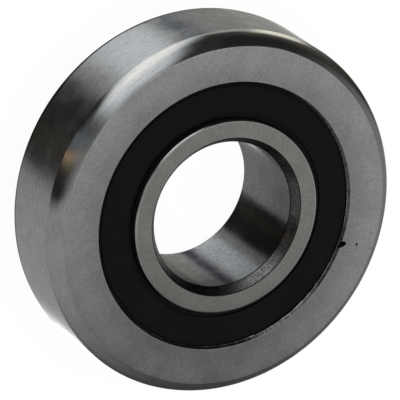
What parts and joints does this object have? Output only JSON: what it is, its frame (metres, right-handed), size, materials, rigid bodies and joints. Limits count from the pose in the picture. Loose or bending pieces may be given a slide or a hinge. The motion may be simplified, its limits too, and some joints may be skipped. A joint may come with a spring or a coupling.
{
  "type": "forklift mast roller",
  "caption": "Sealed ball-bearing roller: a thick round-cornered steel outer ring rolls in a mast rail and turns on an inner ring with a plain bore for a stub shaft.",
  "frame": {"origin": "centre of the inner ring's rear face, on which the roller stands", "axes": "+Z along the bore, towards the face that the picture shows; +X through the first ball of the front row"},
  "size_m": [0.125, 0.125, 0.04],
  "materials": {
    "ring_steel": "ground, fine circular marks",
    "ball_steel": "polished",
    "seal_rubber": "moulded, matte",
    "cage_plastic": "moulded, glass-filled"
  },
  "bodies": {
    "inner": {"inner_ring": "ring_steel"},
    "outer": {"outer_ring": "ring_steel", "front_seal": "seal_rubber", "rear_seal": "seal_rubber"},
    "front_cage": {"front_cage": "cage_plastic"},
    "front_ball_01": {"front_ball_01": "ball_steel"},
    "front_ball_02": {"front_ball_02": "ball_steel"},
    "front_ball_03": {"front_ball_03": "ball_steel"},
    "front_ball_04": {"front_ball_04": "ball_steel"},
    "front_ball_05": {"front_ball_05": "ball_steel"},
    "front_ball_06": {"front_ball_06": "ball_steel"},
    "front_ball_07": {"front_ball_07": "ball_steel"},
    "front_ball_08": {"front_ball_08": "ball_steel"},
    "front_ball_09": {"front_ball_09": "ball_steel"},
    "front_ball_10": {"front_ball_10": "ball_steel"},
    "rear_cage": {"rear_cage": "cage_plastic"},
    "rear_ball_01": {"rear_ball_01": "ball_steel"},
    "rear_ball_02": {"rear_ball_02": "ball_steel"},
    "rear_ball_03": {"rear_ball_03": "ball_steel"},
    "rear_ball_04": {"rear_ball_04": "ball_steel"},
    "rear_ball_05": {"rear_ball_05": "ball_steel"},
    "rear_ball_06": {"rear_ball_06": "ball_steel"},
    "rear_ball_07": {"rear_ball_07": "ball_steel"},
    "rear_ball_08": {"rear_ball_08": "ball_steel"},
    "rear_ball_09": {"rear_ball_09": "ball_steel"},
    "rear_ball_10": {"rear_ball_10": "ball_steel"}
  },
  "joints": [
    {"name": "outer_spin", "type": "hinge", "parent": "inner", "child": "outer", "pos_m": [0, 0, 0.02], "axis": [0, 0, 1], "continuous": true},
    {"name": "front_cage_orbit", "type": "hinge", "parent": "inner", "child": "front_cage", "pos_m": [0, 0, 0.0271], "axis": [0, 0, 1], "continuous": true},
    {"name": "front_ball_01_spin", "type": "hinge", "parent": "front_cage", "child": "front_ball_01", "pos_m": [0.0392, 0, 0.0271], "axis": [0, 0, 1], "continuous": true},
    {"name": "front_ball_02_spin", "type": "hinge", "parent": "front_cage", "child": "front_ball_02", "pos_m": [0.03171, 0.02304, 0.0271], "axis": [0, 0, 1], "continuous": true},
    {"name": "front_ball_03_spin", "type": "hinge", "parent": "front_cage", "child": "front_ball_03", "pos_m": [0.01211, 0.03728, 0.0271], "axis": [0, 0, 1], "continuous": true},
    {"name": "front_ball_04_spin", "type": "hinge", "parent": "front_cage", "child": "front_ball_04", "pos_m": [-0.01211, 0.03728, 0.0271], "axis": [0, 0, 1], "continuous": true},
    {"name": "front_ball_05_spin", "type": "hinge", "parent": "front_cage", "child": "front_ball_05", "pos_m": [-0.03171, 0.02304, 0.0271], "axis": [0, 0, 1], "continuous": true},
    {"name": "front_ball_06_spin", "type": "hinge", "parent": "front_cage", "child": "front_ball_06", "pos_m": [-0.0392, 0, 0.0271], "axis": [0, 0, 1], "continuous": true},
    {"name": "front_ball_07_spin", "type": "hinge", "parent": "front_cage", "child": "front_ball_07", "pos_m": [-0.03171, -0.02304, 0.0271], "axis": [0, 0, 1], "continuous": true},
    {"name": "front_ball_08_spin", "type": "hinge", "parent": "front_cage", "child": "front_ball_08", "pos_m": [-0.01211, -0.03728, 0.0271], "axis": [0, 0, 1], "continuous": true},
    {"name": "front_ball_09_spin", "type": "hinge", "parent": "front_cage", "child": "front_ball_09", "pos_m": [0.01211, -0.03728, 0.0271], "axis": [0, 0, 1], "continuous": true},
    {"name": "front_ball_10_spin", "type": "hinge", "parent": "front_cage", "child": "front_ball_10", "pos_m": [0.03171, -0.02304, 0.0271], "axis": [0, 0, 1], "continuous": true},
    {"name": "rear_cage_orbit", "type": "hinge", "parent": "inner", "child": "rear_cage", "pos_m": [0, 0, 0.0129], "axis": [0, 0, 1], "continuous": true},
    {"name": "rear_ball_01_spin", "type": "hinge", "parent": "rear_cage", "child": "rear_ball_01", "pos_m": [0.03728, 0.01211, 0.0129], "axis": [0, 0, 1], "continuous": true},
    {"name": "rear_ball_02_spin", "type": "hinge", "parent": "rear_cage", "child": "rear_ball_02", "pos_m": [0.02304, 0.03171, 0.0129], "axis": [0, 0, 1], "continuous": true},
    {"name": "rear_ball_03_spin", "type": "hinge", "parent": "rear_cage", "child": "rear_ball_03", "pos_m": [0, 0.0392, 0.0129], "axis": [0, 0, 1], "continuous": true},
    {"name": "rear_ball_04_spin", "type": "hinge", "parent": "rear_cage", "child": "rear_ball_04", "pos_m": [-0.02304, 0.03171, 0.0129], "axis": [0, 0, 1], "continuous": true},
    {"name": "rear_ball_05_spin", "type": "hinge", "parent": "rear_cage", "child": "rear_ball_05", "pos_m": [-0.03728, 0.01211, 0.0129], "axis": [0, 0, 1], "continuous": true},
    {"name": "rear_ball_06_spin", "type": "hinge", "parent": "rear_cage", "child": "rear_ball_06", "pos_m": [-0.03728, -0.01211, 0.0129], "axis": [0, 0, 1], "continuous": true},
    {"name": "rear_ball_07_spin", "type": "hinge", "parent": "rear_cage", "child": "rear_ball_07", "pos_m": [-0.02304, -0.03171, 0.0129], "axis": [0, 0, 1], "continuous": true},
    {"name": "rear_ball_08_spin", "type": "hinge", "parent": "rear_cage", "child": "rear_ball_08", "pos_m": [0, -0.0392, 0.0129], "axis": [0, 0, 1], "continuous": true},
    {"name": "rear_ball_09_spin", "type": "hinge", "parent": "rear_cage", "child": "rear_ball_09", "pos_m": [0.02304, -0.03171, 0.0129], "axis": [0, 0, 1], "continuous": true},
    {"name": "rear_ball_10_spin", "type": "hinge", "parent": "rear_cage", "child": "rear_ball_10", "pos_m": [0.03728, -0.01211, 0.0129], "axis": [0, 0, 1], "continuous": true}
  ],
  "couplings": [
    {"joint": "front_cage_orbit", "follows": "outer_spin", "ratio": 0.58606},
    {"joint": "front_ball_01_spin", "follows": "outer_spin", "ratio": 2.8189},
    {"joint": "front_ball_02_spin", "follows": "outer_spin", "ratio": 2.8189},
    {"joint": "front_ball_03_spin", "follows": "outer_spin", "ratio": 2.8189},
    {"joint": "front_ball_04_spin", "follows": "outer_spin", "ratio": 2.8189},
    {"joint": "front_ball_05_spin", "follows": "outer_spin", "ratio": 2.8189},
    {"joint": "front_ball_06_spin", "follows": "outer_spin", "ratio": 2.8189},
    {"joint": "front_ball_07_spin", "follows": "outer_spin", "ratio": 2.8189},
    {"joint": "front_ball_08_spin", "follows": "outer_spin", "ratio": 2.8189},
    {"joint": "front_ball_09_spin", "follows": "outer_spin", "ratio": 2.8189},
    {"joint": "front_ball_10_spin", "follows": "outer_spin", "ratio": 2.8189},
    {"joint": "rear_cage_orbit", "follows": "outer_spin", "ratio": 0.58606},
    {"joint": "rear_ball_01_spin", "follows": "outer_spin", "ratio": 2.8189},
    {"joint": "rear_ball_02_spin", "follows": "outer_spin", "ratio": 2.8189},
    {"joint": "rear_ball_03_spin", "follows": "outer_spin", "ratio": 2.8189},
    {"joint": "rear_ball_04_spin", "follows": "outer_spin", "ratio": 2.8189},
    {"joint": "rear_ball_05_spin", "follows": "outer_spin", "ratio": 2.8189},
    {"joint": "rear_ball_06_spin", "follows": "outer_spin", "ratio": 2.8189},
    {"joint": "rear_ball_07_spin", "follows": "outer_spin", "ratio": 2.8189},
    {"joint": "rear_ball_08_spin", "follows": "outer_spin", "ratio": 2.8189},
    {"joint": "rear_ball_09_spin", "follows": "outer_spin", "ratio": 2.8189},
    {"joint": "rear_ball_10_spin", "follows": "outer_spin", "ratio": 2.8189}
  ]
}
